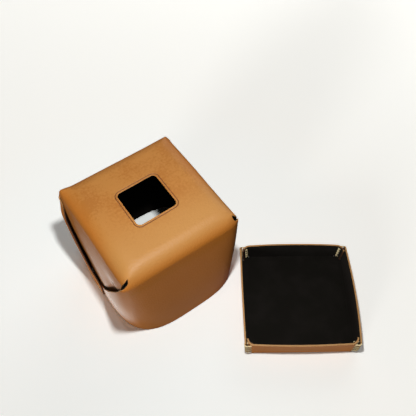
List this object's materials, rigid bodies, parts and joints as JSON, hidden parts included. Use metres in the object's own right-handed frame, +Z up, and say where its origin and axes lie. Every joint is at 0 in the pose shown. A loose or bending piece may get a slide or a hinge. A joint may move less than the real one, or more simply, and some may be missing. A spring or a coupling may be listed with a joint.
{
  "type": "tissue box cover with tray",
  "caption": "Folded leather cover that lifts off a cube pack of tissues, with a square opening in its top to pull them through, and a matching open tray laced at its corners.",
  "frame": {"origin": "middle of the cover's open base, on the surface that the cover and the tray stand on", "axes": "+Z up, -Y out of the cover's front, +X to the cover's right; the tray stands in front of the cover's right side, turned clockwise"},
  "size_m": [0.261, 0.2875, 0.138],
  "materials": {
    "tan_leather": "smooth fine-grained vegetable-tanned leather, satin, raw cut edges",
    "black_suede": "matt black suede lining",
    "cream_thread": "waxed twisted linen thread, cream"
  },
  "bodies": {
    "tray": {"tray_hide": "tan_leather", "tray_lining": "black_suede", "tray_lacing_front_right": "cream_thread", "tray_lacing_front_left": "cream_thread", "tray_lacing_back_right": "cream_thread", "tray_lacing_back_left": "cream_thread"},
    "cover": {"cover_hide": "tan_leather", "cover_lining": "black_suede", "cover_seam_left": "cream_thread", "cover_seam_right": "cream_thread"}
  },
  "joints": [
    {"name": "cover_lift", "type": "slide", "parent": "tray", "child": "cover", "axis": [0, 0, 1], "range_m": [0, 0.15]}
  ]
}
